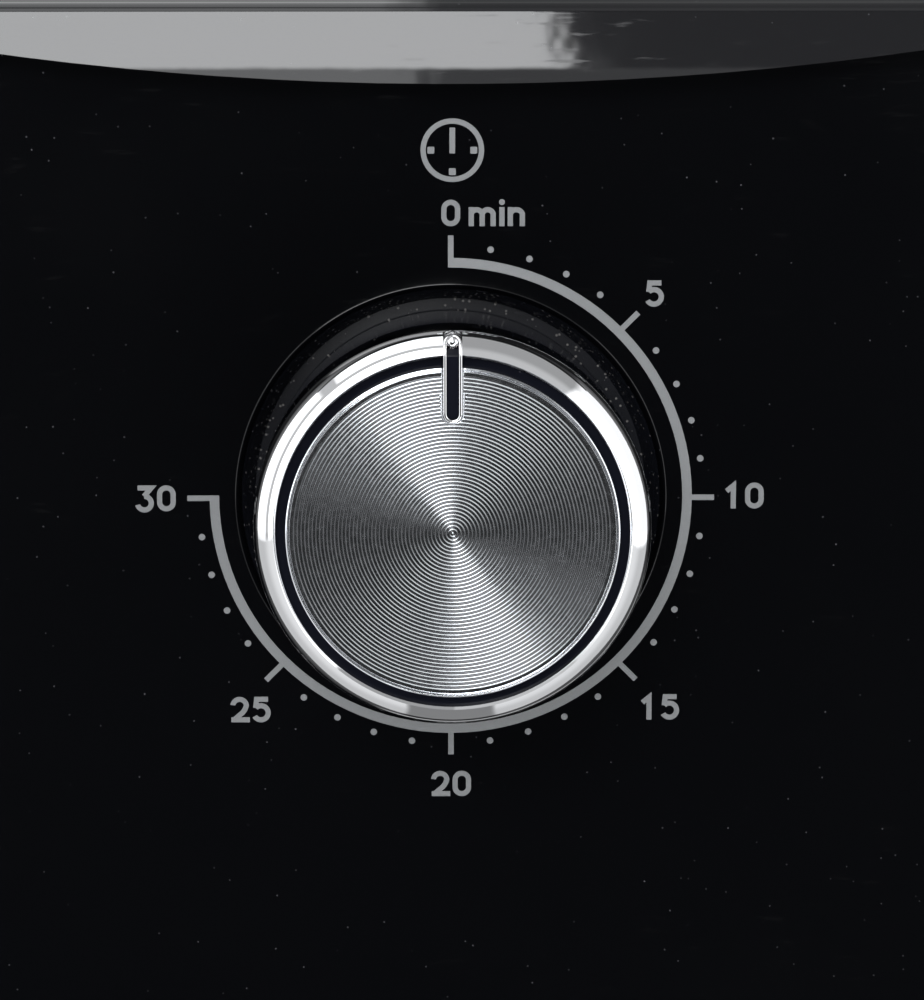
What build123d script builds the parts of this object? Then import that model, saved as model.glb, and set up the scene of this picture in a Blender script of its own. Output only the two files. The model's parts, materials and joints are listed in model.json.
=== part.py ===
"""Clockwork bench timer: glossy fascia with a 0 to 30 minute dial, a chrome-ringed winding knob, and a
case that holds a spring movement, a switch that the knob's cam works, a bell and two mains sockets.

Everything is drawn in the dial's own frame: x to the right, y up, z out towards the person, with z = 0 on
the fascia's face and the origin at the centre of the dial. in_row() then stands it upright, so that the
finished part has +Z up, its front faces -Y and its feet stand on z = 0.
"""
from build123d import *
from math import acos, atan2, cos, degrees, hypot, pi, radians, sin, tan
import os

# --- driving dimensions, mm ---
CASE_WIDTH = 130.0
CASE_BOTTOM = -74.0          # below the dial centre
CASE_TOP = 62.0              # above the dial centre, under the cap
CASE_CORNER = 6.0
WALL = 2.5
CASE_BACK = -75.0            # rear cover's outer face
FOOT_HEIGHT = 4.0

CAP_OVERHANG = 1.6           # past the case at each side
LIP_FRONT = 4.4              # the cap's lip stands this far in front of the fascia at its lower edge
LIP_LEAN = 2.4               # and leans back this far by its upper edge
LIP_LOW = 52.2               # the lip's lower edge on the centre line
LIP_HIGH = 62.0              # where the lip turns back into the crown
LIP_BOW = 420.0              # radius of the lip's bowed lower edge
CROWN_TOP = 70.0
CROWN_START = -34.0          # where the rising crown meets the flat top

KNOB_R = 24.0
KNOB_FRONT = 25.0
DISC_R = 20.1
BEZEL_INNER_R = 21.3
BEZEL_BACK = 13.8
SHOULDER_Z = 20.4            # where the bezel's side wall starts to round over
SEAT_Z = 23.8                # the knob's flat that the disc lies on
CREST_Z = 21.8               # bottom of the pointer's notch in the bezel
SKIRT_R = 23.6
SKIRT_BACK = -3.7
POINTER_WIDTH = 2.3
CHANNEL_WIDTH = 1.44
POINTER_INNER_R = 13.4
CHANNEL_ENDS = (POINTER_INNER_R + 0.5, 22.6)
POINTER_PROUD = 0.35         # the pointer's frame above the disc

DISH_R = 26.8
DISH_FLOOR_R = 24.7
DISH_FLOOR = -4.5

DIAL_MINUTES = 30
DIAL_SWEEP = 270.0           # degrees for the whole scale, clockwise from the top
ARC_R = 29.7
ARC_WIDTH = 1.2
TICK_WIDTH = 0.7
TICK_END_R = 33.1
DOT_R = 31.7
DOT_SIZE = 0.83
LABEL_R = 35.9               # middle of the 0 and of the word after it
NUMBER_AT = {0: (0, LABEL_R), 5: (25.4, 25.8), 10: (36.8, 0.2), 15: (26.4, -27.0), 20: (0, -36.9),
             25: (-25.4, -27.2), 30: (-37.1, 0)}
CAP_HEIGHT = 3.3
STROKE = 0.65
INK = 0.06
ICON_Y = 43.7
ICON_R = 3.95

SHAFT_R = 3.0
RUNNING = 0.05               # radial clearance of every arbor in its hole
ARBOR_R = 0.8
FRONT_PLATE = (-8.2, -7.0)
BACK_PLATE = (-29.2, -28.0)
PLATE_X = 31.0
PLATE_Y = (-26.0, 32.0)
PILLARS = [(-27.0, -22.0), (27.0, -22.0), (-27.0, 28.0), (27.0, 28.0)]

WHEEL_TEETH = 60
PINION_TEETH = 10
MAIN_MODULE = 0.5
SECOND_MODULE = 0.4
THIRD_MODULE = 0.35
SECOND_DIRECTION = 40.0      # degrees, from each arbor to the next one in the train
THIRD_DIRECTION = 155.0
ESCAPE_DIRECTION = 200.0
PALLET_DIRECTION = 200.0
TOOTH_THINNING = 0.06        # off each tooth's thickness, for backlash
MAIN_WHEEL_Z = (-12.2, -11.0)
SECOND_WHEEL_Z = (-16.0, -15.0)
THIRD_WHEEL_Z = (-19.3, -18.5)
ESCAPE_WHEEL_Z = (-22.8, -22.0)

ESCAPE_TEETH = 15
ESCAPE_R = 7.0
PALLET_DISTANCE = 9.5
PALLET_PIN_R = 0.3
PALLET_SPAN = 3.5            # teeth between the two pins
PALLET_CLEAR = 0.12          # pins clear of the tooth tips at mid swing

CAM_R = 9.0
CAM_NOTCH = 1.7
CAM_Z = (-27.0, -24.2)
BLADE_PIVOT = (-17.0, -12.5)
BLADE_Z = (-26.6, -24.6)
NOSE_GAP = 0.12              # nose held clear of the cam's rim in the stored pose

BARREL_R = 14.0
BARREL_Z = (-36.0, -29.2)
STRIKE_CAM_R = 6.0
STRIKE_Z = (-39.0, -37.2)
HAMMER_PIVOT = (-18.0, -7.0)
HAMMER_HEAD = (-11.5, -25.0)
HAMMER_HEAD_R = 2.0
GONG_CENTRE = (12.0, -14.0)
GONG_R = 22.0
GONG_Z = (-50.0, -42.0)
SHAFT_BACK = -40.6

SOCKET_X = 28.0
SOCKET_Y = -46.0
SOCKET_FLANGE = (49.0, 29.0)
SOCKET_BODY = (33.0, 25.0)
SOCKET_DEPTH = 20.0
FLANGE_THICK = 3.0
SCREW_HEAD = 1.6
SOCKET_SCREW = 20.5          # each side of the socket's centre
INLET_CAVITY = (24.6, 16.8)
OUTLET_CAVITY = (30.4, 22.4)
OUTLET_ISLAND = (24.0, 16.0)
CAVITY_DEPTH = 16.0
PIN_PITCH = 7.0
EARTH_OFFSET = 4.0
WIRE_R = 0.9

DIAL_HEIGHT = FOOT_HEIGHT - CASE_BOTTOM
FACE_Y = (KNOB_FRONT + POINTER_PROUD + CASE_BACK - FLANGE_THICK - SCREW_HEAD) / 2   # centres the depth

FRONT_FACE = Plane(origin=(0, FACE_Y, DIAL_HEIGHT), x_dir=(1, 0, 0), z_dir=(0, -1, 0))


# --- helpers ---
def in_row(shape):
    return FRONT_FACE.location * shape


def save(node, *solids):
    placed = [in_row(solid) for solid in solids]
    shape = placed[0] if len(placed) == 1 else Compound(children=placed)
    export_step(shape, f"parts/{node}.step")


def rod(radius, z_range, centre=(0, 0)):
    low, high = z_range
    base = Align.CENTER, Align.CENTER, Align.MIN
    return Pos(centre[0], centre[1], low) * Cylinder(radius, high - low, align=base)


def tube(outer, inner, z_range, centre=(0, 0)):
    return rod(outer, z_range, centre) - rod(inner, (z_range[0] - 1, z_range[1] + 1), centre)


def block(x_range, y_range, z_range):
    size = [high - low for low, high in (x_range, y_range, z_range)]
    middle = [(high + low) / 2 for low, high in (x_range, y_range, z_range)]
    return Pos(*middle) * Box(*size)


def slab(face, z_range):
    return Pos(0, 0, z_range[0]) * extrude(face, z_range[1] - z_range[0])


def rounded(width, height, corner, centre=(0, 0)):
    return Pos(*centre) * RectangleRounded(width, height, corner)


def polar(radius, angle, centre=(0, 0)):
    return (centre[0] + radius * cos(radians(angle)), centre[1] + radius * sin(radians(angle)))


def ring_profile(*edges):
    """A solid of revolution about the dial's axis, from edges drawn as (radius, z)."""
    upright = Plane.XZ
    return revolve(upright * make_face(Curve() + list(edges)), axis=Axis.Z)


def stroke(*edges):
    """A flat line of the scale's stroke width along connected edges."""
    return trace(Curve() + list(edges), STROKE)


# --- case ---
def case_face(inset=0.0):
    height = CASE_TOP - CASE_BOTTOM
    middle = (CASE_TOP + CASE_BOTTOM) / 2
    return rounded(CASE_WIDTH - 2 * inset, height - 2 * inset, CASE_CORNER - inset, (0, middle))


CORNERS = [(x, y) for x in (-57.5, 57.5) for y in (CASE_BOTTOM + 7.5, CASE_TOP - 7.5)]
CAP_SCREWS = [(-40.0, -38.0), (40.0, -38.0)]
FEET = [(x, z) for x in (-50.0, 50.0) for z in (-13.0, -62.0)]
CLIP_Y = [-35.0, 25.0]
TIMER_SCREWS = [(-15.0, 0.0), (15.0, 0.0)]
SCREW_R = 1.5


def upright_rod(radius, y_range, x, z):
    base = Align.CENTER, Align.CENTER, Align.MIN
    along_y = Rot(-90, 0, 0) * Cylinder(radius, y_range[1] - y_range[0], align=base)
    return Pos(x, y_range[0], z) * along_y


def fascia():
    plate = slab(case_face(), (-WALL, 0))
    plate = fillet(plate.edges().group_by(Axis.Z)[-1], 0.8)
    cup = rod(DISH_R + 1.8, (FRONT_PLATE[1], -WALL))
    hollow = ring_profile(
        Line((0, 1), (DISH_R, 1)),
        Line((DISH_R, 1), (DISH_R, 0)),
        ThreePointArc((DISH_R, 0), (DISH_FLOOR_R + 0.75, DISH_FLOOR + 1.9), (DISH_FLOOR_R, DISH_FLOOR)),
        Line((DISH_FLOOR_R, DISH_FLOOR), (0, DISH_FLOOR)),
        Line((0, DISH_FLOOR), (0, 1)),
    )
    body = plate + cup - hollow - rod(5.2, (-9, 0))
    around = 2 * pi * DISH_R
    dish_edge = [e for e in body.edges() if abs(e.center().Z) < 0.01 and abs(e.length - around) < 0.1]
    body = fillet(dish_edge, 0.35)
    for place in TIMER_SCREWS:
        body -= rod(SCREW_R + 0.1, (-9, 0), place)
    inner_x = CASE_WIDTH / 2 - WALL
    for y in CLIP_Y:
        for side in (-1, 1):
            tab = block((inner_x - 1.4, inner_x - 0.1), (y - 5, y + 5), (-13, -WALL))
            barb = block((inner_x - 1.4, inner_x + 0.9), (y - 4, y + 4), (-12.6, -11.0))
            clip = tab + barb
            body += clip if side > 0 else mirror(clip, Plane.YZ)
    return body


def case_shell():
    depth = (CASE_BACK + WALL, -WALL)
    shell = slab(case_face() - case_face(WALL), depth)
    for x, y in CORNERS:
        web_x = (x, CASE_WIDTH / 2 - 1) if x > 0 else (-CASE_WIDTH / 2 + 1, x)
        shell += rod(4.0, (depth[0], depth[0] + 14), (x, y))
        shell += block(web_x, (y - 1, y + 1), (depth[0], depth[0] + 14))
        shell -= rod(SCREW_R, (depth[0] - 1, depth[0] + 11), (x, y))
    wall_x = CASE_WIDTH / 2
    for y in CLIP_Y:
        for side in (-1, 1):
            slot = block((wall_x - WALL - 1, wall_x - 1.2), (y - 4.3, y + 4.3), (-12.9, -10.7))
            shell -= slot if side > 0 else mirror(slot, Plane.YZ)
    for x, z in FEET:
        shell -= upright_rod(2.5, (CASE_BOTTOM - 1, CASE_BOTTOM + WALL + 1), x, z)
    for x, z in CAP_SCREWS:
        shell -= upright_rod(SCREW_R + 0.1, (CASE_TOP - WALL - 1, CASE_TOP + 1), x, z)
    return shell


def rear_cover():
    cover = slab(case_face(), (CASE_BACK, CASE_BACK + WALL))
    cover = fillet(cover.edges().group_by(Axis.Z)[0], 1.0)
    for place in CORNERS:
        cover -= rod(SCREW_R + 0.1, (CASE_BACK - 1, CASE_BACK + WALL + 1), place)
    for side in (-1, 1):
        centre = (side * SOCKET_X, SOCKET_Y)
        opening = rounded(SOCKET_BODY[0] + 0.4, SOCKET_BODY[1] + 0.4, 2, centre)
        cover -= slab(opening, (CASE_BACK - 1, CASE_BACK + WALL + 1))
        for screw_side in (-1, 1):
            place = (centre[0] + screw_side * SOCKET_SCREW, SOCKET_Y)
            cover -= rod(SCREW_R, (CASE_BACK - 1, CASE_BACK + WALL + 1), place)
    return cover


def cap_profile(inset=0.0):
    """The cap's side view as edges in (y, z): front lip, rising crown, flat top and back edge."""
    front, back = LIP_FRONT - inset, CASE_BACK + inset
    top, low, lip = CROWN_TOP - inset, LIP_LOW - 2, LIP_HIGH - inset
    turn = 1.4
    brow = (lip - turn, front - LIP_LEAN)
    brow_back = (lip, front - LIP_LEAN - turn)
    middle = ((low + brow[0]) / 2, front - LIP_LEAN * 0.36)
    return [
        ThreePointArc((low, front), middle, brow),
        ThreePointArc(brow, (lip - 0.45, brow[1] - 0.55), brow_back),
        ThreePointArc(brow_back, (lip + 5.9, CROWN_START * 0.45), (top, CROWN_START)),
        Line((top, CROWN_START), (top, back)),
        Line((top, back), (low, back)),
        Line((low, back), (low, front)),
    ]


def cap_solid(inset, half):
    """The cap's side view across its width, with rounded upright corners."""
    plan = RectangleRounded(2 * half, LIP_FRONT - CASE_BACK - 2 * inset, max(4.0 - inset, 1.0))
    upright = Pos(0, 0, (LIP_FRONT + CASE_BACK) / 2) * Rot(-90, 0, 0) * extrude(plan, CROWN_TOP + 1)
    side_view = Plane.YZ * make_face(Curve() + cap_profile(inset))
    return extrude(side_view, half, both=True) & upright


def top_cap():
    half = CASE_WIDTH / 2 + CAP_OVERHANG
    clear = CASE_WIDTH / 2 + 0.1
    cavity = cap_solid(2.4, half - 2.4) - block((-99, 99), (0, CASE_TOP), (-99, 99))
    case_space = block((-clear, clear), (0, CASE_TOP), (CASE_BACK - 5, 0))
    cap = cap_solid(0, half) - cavity - case_space
    cap &= rod(LIP_BOW, (-90, 20), (0, LIP_LOW + LIP_BOW))
    for x, z in CAP_SCREWS:
        cap += upright_rod(4.0, (CASE_TOP, CROWN_TOP - 1), x, z)
        cap -= upright_rod(SCREW_R, (CASE_TOP - 1, CASE_TOP + 5.5), x, z)
    return cap


def rubber_feet():
    feet = []
    for x, z in FEET:
        pad = upright_rod(7.0, (CASE_BOTTOM - FOOT_HEIGHT, CASE_BOTTOM), x, z)
        pad = fillet(pad.edges().group_by(Axis.Y)[0], 0.8)
        feet.append(pad + upright_rod(2.5, (CASE_BOTTOM, CASE_BOTTOM + WALL + 1.5), x, z))
    return feet


def screw(length, head_r=2.7, head=SCREW_HEAD):
    """A pan-head screw along z, its head in front of z = 0, with a cross slot."""
    body = rod(SCREW_R, (-length, 0)) + fillet(rod(head_r, (0, head)).edges().group_by(Axis.Z)[-1], 0.6)
    for angle in (0, 90):
        body -= Rot(0, 0, angle) * block((-1.5, 1.5), (-0.3, 0.3), (head - 0.8, head + 1))
    return body


def rear_screws():
    return [Pos(x, y, CASE_BACK) * Rot(180, 0, 0) * screw(WALL + 9) for x, y in CORNERS]


def cap_screws():
    return [Pos(x, CASE_TOP - WALL, z) * Rot(90, 0, 0) * screw(WALL + 4.5) for x, z in CAP_SCREWS]


def timer_screws():
    return [Pos(x, y, DISH_FLOOR) * screw(4.9, head=1.4) for x, y in TIMER_SCREWS]


# --- printed scale ---
def on_dial(radius, minute):
    return polar(radius, 90 - minute * DIAL_SWEEP / DIAL_MINUTES)


def digit(character):
    """A figure of the scale, centred on the origin, CAP_HEIGHT tall."""
    h = CAP_HEIGHT / 2 - STROKE / 2
    w = 0.85
    if character == "0":
        wide = 2 * w + STROKE
        eye = wide - 2 * STROKE
        outer = RectangleRounded(wide, CAP_HEIGHT, wide * 0.49)
        return outer - RectangleRounded(eye, CAP_HEIGHT - 2 * STROKE, eye * 0.49)
    if character == "1":
        return stroke(Polyline((-0.75, h - 0.75), (0.1, h - 0.05), (0.1, -h - STROKE / 2)))
    if character == "2":
        top = ThreePointArc((-w, h - 0.75), (0, h), (w, h - 0.8))
        turn = ThreePointArc((w, h - 0.8), (w * 0.75, h - 1.35), (w * 0.4, h - 1.75))
        foot = Pos(0.1, -h) * Rectangle(2 * w + STROKE, STROKE)
        return stroke(top, turn, Line((w * 0.4, h - 1.75), (0.15 - w, -h))) + foot
    if character == "3":
        top = Polyline((-w, h), (w, h), (-0.05, 0.25))
        bowl = ThreePointArc((-0.05, 0.25), (w, -h * 0.42), (-w, -h + 0.5))
        return stroke(top) + stroke(bowl)
    top = Polyline((w, h), (-w * 0.7, h), (-w * 0.85, 0.2))
    bowl = ThreePointArc((-w * 0.85, 0.2), (w, -h * 0.4), (-w, -h + 0.45))
    return stroke(top) + stroke(bowl)


def number(minute):
    """The figures of a number side by side, centred on its place round the dial."""
    x, y = NUMBER_AT[minute]
    text = str(minute)
    step = 2.75
    start = x - step * (len(text) - 1) / 2
    return [Pos(start + step * place, y) * digit(figure) for place, figure in enumerate(text)]


def unit_label():
    """The word min, to the right of the 0: stems, arches between them, and the dot of the i."""
    low = LABEL_R - CAP_HEIGHT / 2
    high, spring = low + 2.38, low + 1.55

    def stem(x):
        return stroke(Line((x, low), (x, high)))

    def arch(x, span):
        top = ThreePointArc((x, spring), (x + span / 2, high - STROKE / 2), (x + span, spring))
        return stroke(top, Line((x + span, spring), (x + span, low)))

    m_left, m_span, i_stem, n_left, n_span = 2.55, 1.36, 6.36, 7.4, 1.5
    m_shape = stem(m_left) + arch(m_left, m_span) + arch(m_left + m_span, m_span)
    n_shape = stem(n_left) + arch(n_left, n_span)
    return [m_shape, stem(i_stem), Pos(i_stem, high + 0.62) * Circle(0.37), n_shape]


def clock_icon():
    centre = (0.2, ICON_Y)
    ring = Pos(*centre) * (Circle(ICON_R) - Circle(ICON_R - 0.66))
    hand = Pos(centre[0], centre[1] + 1.2) * RectangleRounded(0.7, 3.2, 0.08)
    marks = [Pos(*polar(2.66, angle, centre)) * RectangleRounded(0.86, 0.86, 0.14) for angle in (180, 0, 270)]
    return [ring, hand] + marks


def scale_print():
    half_tick = degrees(TICK_WIDTH / 2 / ARC_R)
    sweep = -(DIAL_SWEEP + 2 * half_tick)
    outer, inner = ARC_R + ARC_WIDTH / 2, ARC_R - ARC_WIDTH / 2
    start = 90 + half_tick
    arc = make_face(Curve() + [
        CenterArc((0, 0), outer, start, sweep),
        Line(polar(outer, start + sweep), polar(inner, start + sweep)),
        CenterArc((0, 0), inner, start, sweep),
        Line(polar(inner, start), polar(outer, start)),
    ])
    faces = []
    for minute in range(DIAL_MINUTES + 1):
        if minute % 5 == 0:
            angle = 90 - minute * DIAL_SWEEP / DIAL_MINUTES
            length = TICK_END_R - inner - 0.2
            middle = polar(TICK_END_R - length / 2, angle)
            arc += Pos(*middle) * Rot(0, 0, angle) * Rectangle(length, TICK_WIDTH)
            faces += number(minute)
        else:
            faces.append(Pos(*on_dial(DOT_R, minute)) * Circle(DOT_SIZE / 2))
    faces += [arc] + unit_label() + clock_icon()
    return [slab(face, (0, INK)) for face in faces]


# --- knob ---
def knob_body():
    outer = ring_profile(
        Line((0, SKIRT_BACK), (SKIRT_R - 0.4, SKIRT_BACK)),
        Line((SKIRT_R - 0.4, SKIRT_BACK), (SKIRT_R, BEZEL_BACK)),
        Line((SKIRT_R, BEZEL_BACK), (BEZEL_INNER_R, BEZEL_BACK)),
        Line((BEZEL_INNER_R, BEZEL_BACK), (BEZEL_INNER_R, SEAT_Z)),
        Line((BEZEL_INNER_R, SEAT_Z), (0, SEAT_Z)),
        Line((0, SEAT_Z), (0, SKIRT_BACK)),
    )
    hollow = tube(SKIRT_R - 2.6, 6.5, (SKIRT_BACK - 1, 11.0))
    bore = rod(SHAFT_R, (SKIRT_BACK - 1, 12.0)) - block((-4, 4), (2.4, 4), (0.3, 12.5))
    slot = block((-1.6, 1.6), (2.4, 3.1), (1.0, 9.0))
    return outer - hollow - bore - slot


def knob_bezel():
    return ring_profile(
        Line((BEZEL_INNER_R, BEZEL_BACK), (KNOB_R, BEZEL_BACK)),
        Line((KNOB_R, BEZEL_BACK), (KNOB_R, SHOULDER_Z)),
        ThreePointArc((KNOB_R, SHOULDER_Z), (KNOB_R - 0.72, 23.55), (BEZEL_INNER_R + 0.3, KNOB_FRONT)),
        Line((BEZEL_INNER_R + 0.3, KNOB_FRONT), (BEZEL_INNER_R, KNOB_FRONT - 0.3)),
        Line((BEZEL_INNER_R, KNOB_FRONT - 0.3), (BEZEL_INNER_R, BEZEL_BACK)),
    ) - pointer_space()


def pointer_outline(width, inner_end, outer_end):
    """A long slot with round ends, up the knob's face."""
    return rounded(width, outer_end - inner_end, width * 0.499, (0, (outer_end + inner_end) / 2))


def pointer_space():
    """The slot that the pointer lies in: through the disc, and deeper where it crosses the bezel."""
    outline = pointer_outline(POINTER_WIDTH, POINTER_INNER_R, KNOB_R + 3)
    half = POINTER_WIDTH / 2
    notch = block((-half, half), (BEZEL_INNER_R, KNOB_R + 3), (CREST_Z, SEAT_Z))
    return slab(outline, (SEAT_Z, KNOB_FRONT + 5)) + notch


def pointer_envelope(lift):
    """What the pointer's face follows: level over the disc, then down over the bezel's shoulder."""
    top, edge = KNOB_FRONT + lift, KNOB_R - 0.25 + lift
    return ring_profile(
        Line((0, CREST_Z - 1), (edge, CREST_Z - 1)),
        Line((edge, CREST_Z - 1), (edge, SHOULDER_Z + 0.8)),
        ThreePointArc((edge, SHOULDER_Z + 0.8), (edge - 0.68, top - 1.3), (BEZEL_INNER_R + 0.1, top)),
        Line((BEZEL_INNER_R + 0.1, top), (0, top)),
        Line((0, top), (0, CREST_Z - 1)),
    )


def knob_disc():
    disc = rod(DISC_R, (SEAT_Z, KNOB_FRONT))
    disc = chamfer(disc.edges().group_by(Axis.Z)[-1], 0.25)
    return disc - pointer_space()


def knob_pointer():
    outline = pointer_outline(POINTER_WIDTH, POINTER_INNER_R, KNOB_R + 3)
    frame = slab(outline, (CREST_Z, KNOB_FRONT + 1)) & pointer_envelope(POINTER_PROUD)
    frame -= block((-5, 5), (0, BEZEL_INNER_R), (CREST_Z - 1, SEAT_Z))
    return frame - slab(pointer_outline(CHANNEL_WIDTH, *CHANNEL_ENDS), (KNOB_FRONT - 0.6, KNOB_FRONT + 2))


def pointer_inlay():
    channel = slab(pointer_outline(CHANNEL_WIDTH, *CHANNEL_ENDS), (KNOB_FRONT - 0.6, KNOB_FRONT - 0.05))
    return channel & pointer_envelope(-0.05)


def knob_clip():
    return block((-1.5, 1.5), (2.45, 3.05), (1.2, 8.8))


def main_shaft():
    shaft = rod(SHAFT_R, (SHAFT_BACK, 12.0)) - block((-4, 4), (2.4, 4), (0.3, 12.5))
    return shaft - tube(5, SHAFT_R - 0.5, (-40.0, -39.2))


def circlip():
    ring = tube(4.6, SHAFT_R - 0.5, (-40.0, -39.2))
    return ring - block((-1.2, 1.2), (0, 6), (-41, -38))


# --- gears ---
def involute_half_angle(radius, module, teeth):
    """Half the tooth's angle at a radius, for a 20 degree involute."""
    pitch_r = module * teeth / 2
    base_r = pitch_r * cos(radians(20))
    at_pitch = (pi * module / 2 - TOOTH_THINNING) / (2 * pitch_r)
    pressure = acos(min(1.0, base_r / max(radius, base_r)))
    return at_pitch + tan(radians(20)) - radians(20) - (tan(pressure) - pressure)


def gear_face(module, teeth, tip_r, root_r, first_tooth):
    """A gear's outline, with the middle of one tooth at the angle first_tooth."""
    edges = []
    radii = [root_r, (root_r + tip_r) / 2, tip_r]
    half = [degrees(involute_half_angle(r, module, teeth)) for r in radii]
    pitch = 360 / teeth
    for tooth in range(teeth):
        middle = first_tooth + pitch * tooth
        rise = [polar(r, middle - a) for r, a in zip(radii, half)]
        fall = [polar(r, middle + a) for r, a in zip(radii, half)]
        floor_end = polar(root_r, middle + pitch - half[0])
        edges.append(ThreePointArc(*rise))
        edges.append(ThreePointArc(rise[2], polar(tip_r, middle), fall[2]))
        edges.append(ThreePointArc(*reversed(fall)))
        edges.append(ThreePointArc(fall[0], polar(root_r, middle + pitch / 2), floor_end))
    return make_face(Curve() + edges)


def wheel(module, centre, z_range, next_direction, bore, hole_r=0.0, hole_ring=0.0):
    pitch_r = module * WHEEL_TEETH / 2
    tip, root = pitch_r + 0.6 * module, pitch_r - 1.3 * module
    face = gear_face(module, WHEEL_TEETH, tip, root, next_direction)
    body = slab(face, z_range) - rod(bore, (z_range[0] - 1, z_range[1] + 1))
    for number_of in range(5 if hole_r else 0):
        place = polar(hole_ring, next_direction + 36 + 72 * number_of)
        body -= rod(hole_r, (z_range[0] - 1, z_range[1] + 1), place)
    return Pos(*centre) * body


def pinion(module, centre, z_range, from_direction):
    """A pinion with its arbor in one piece, a gap between teeth facing the wheel that drives it."""
    pitch_r = module * PINION_TEETH / 2
    first = from_direction + 180 + 180 / PINION_TEETH
    face = gear_face(module, PINION_TEETH, pitch_r + module, pitch_r - 0.9 * module, first)
    arbor = rod(ARBOR_R, (BACK_PLATE[0] + 0.1, FRONT_PLATE[1] - 0.1))
    return Pos(*centre) * (slab(face, z_range) + arbor)


def step_from(centre, distance, direction):
    return polar(distance, direction, centre)


SECOND = step_from((0, 0), MAIN_MODULE * (WHEEL_TEETH + PINION_TEETH) / 2, SECOND_DIRECTION)
THIRD = step_from(SECOND, SECOND_MODULE * (WHEEL_TEETH + PINION_TEETH) / 2, THIRD_DIRECTION)
ESCAPE = step_from(THIRD, THIRD_MODULE * (WHEEL_TEETH + PINION_TEETH) / 2, ESCAPE_DIRECTION)
PALLET = step_from(ESCAPE, PALLET_DISTANCE, PALLET_DIRECTION)
ARBORS = [SECOND, THIRD, ESCAPE, PALLET]
PALLET_SPREAD = PALLET_SPAN * 360 / ESCAPE_TEETH / 2
PALLET_PIN_RING = ESCAPE_R + PALLET_PIN_R + PALLET_CLEAR
CLICK_PIVOT = polar(10.5, -100)


def main_wheel():
    body = wheel(MAIN_MODULE, (0, 0), MAIN_WHEEL_Z, SECOND_DIRECTION, SHAFT_R)
    body += tube(4.6, SHAFT_R, (MAIN_WHEEL_Z[1], -10.6))
    return body + rod(0.9, (-14.1, MAIN_WHEEL_Z[0]), CLICK_PIVOT)


def ratchet_wheel():
    """Twelve slanted teeth that the click pawl drops behind."""
    points = []
    for tooth in range(12):
        points.append(polar(6.0, 30 * tooth))
        points.append(polar(4.9, 30 * tooth + 2))
    face = make_face(Polyline(*points, close=True))
    return slab(face, (-13.8, -12.8)) - rod(SHAFT_R, (-15, -11))


def click_pawl():
    """A pawl on the main wheel, its tip just clear of the ratchet teeth."""
    z_range = (-13.8, -12.8)
    x, y = CLICK_PIVOT
    tip = polar(6.25, -50)
    corners = [(x + 0.2, y - 1.5), (tip[0] + 1.1, tip[1] - 0.9), tip, (x + 1.0, y + 1.4)]
    arm = make_face(Polyline(*corners, close=True))
    body = slab(arm, z_range) + rod(1.7, z_range, CLICK_PIVOT)
    return body - rod(0.9 + RUNNING, (-15, -12), CLICK_PIVOT)


def escape_wheel():
    radii = (5.2, 6.4, ESCAPE_R)
    half_width = (0.5, 0.24, 0.1)
    first = PALLET_DIRECTION + PALLET_SPREAD - 360 / ESCAPE_TEETH / 4
    points = []
    for tooth in range(ESCAPE_TEETH):
        middle = first + tooth * 360 / ESCAPE_TEETH
        spread = [degrees(w / r) for w, r in zip(half_width, radii)]
        points += [polar(r, middle - a) for r, a in zip(radii, spread)]
        points += [polar(r, middle + a) for r, a in reversed(list(zip(radii, spread)))]
    body = slab(make_face(Polyline(*points, close=True)), ESCAPE_WHEEL_Z) - rod(ARBOR_R, (-25, -20))
    for spoke in range(5):
        body -= rod(1.15, (-25, -20), polar(3.2, first + 72 * spoke))
    return Pos(*ESCAPE) * body


def pallet_pin_places():
    return [polar(PALLET_PIN_RING, PALLET_DIRECTION + s * PALLET_SPREAD, ESCAPE) for s in (-1, 1)]


PALLET_Z = (-24.4, -23.4)


def pallet_pins():
    span = (PALLET_Z[0] + 0.1, ESCAPE_WHEEL_Z[1] + 0.2)
    return [rod(PALLET_PIN_R, span, place) for place in pallet_pin_places()]


def pallet_lever():
    body = rod(1.9, PALLET_Z, PALLET)
    for x, y in pallet_pin_places():
        run = hypot(x - PALLET[0], y - PALLET[1])
        angle = degrees(atan2(y - PALLET[1], x - PALLET[0]))
        arm = slab(Pos(run / 2, 0) * RectangleRounded(run + 1.4, 1.4, 0.65), PALLET_Z)
        body += Pos(PALLET[0], PALLET[1], 0) * Rot(0, 0, angle) * arm
    body += rod(ARBOR_R, (BACK_PLATE[0] + 0.1, FRONT_PLATE[1] - 0.1), PALLET)
    for place in pallet_pin_places():
        body -= rod(PALLET_PIN_R, (PALLET_Z[0] + 0.1, PALLET_Z[1] + 1), place)
    return body


def balance_weight():
    bar = slab(RectangleRounded(14.0, 2.4, 1.1), (-26.2, -25.0))
    ends = [rod(1.8, (-26.8, -24.8), (x, 0)) for x in (-5.6, 5.6)]
    bar = bar + ends[0] + ends[1] + rod(1.8, (-26.2, -25.0)) - rod(ARBOR_R, (-27, -24))
    return Pos(*PALLET) * Rot(0, 0, 110) * bar


# --- movement frame ---
def movement_plate(z_range):
    width, height = 2 * PLATE_X, PLATE_Y[1] - PLATE_Y[0]
    face = rounded(width, height, 5, (0, (PLATE_Y[0] + PLATE_Y[1]) / 2))
    plate = slab(face, z_range)
    through = (z_range[0] - 1, z_range[1] + 1)
    for place in ARBORS:
        plate -= rod(ARBOR_R + RUNNING, through, place)
    for place in PILLARS:
        plate -= rod(1.2, through, place)
    return plate


def front_plate():
    plate = movement_plate(FRONT_PLATE) - rod(5.2, (-9, -6))
    for place in TIMER_SCREWS:
        plate -= rod(SCREW_R, (-9, -6), place)
    return plate


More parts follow.
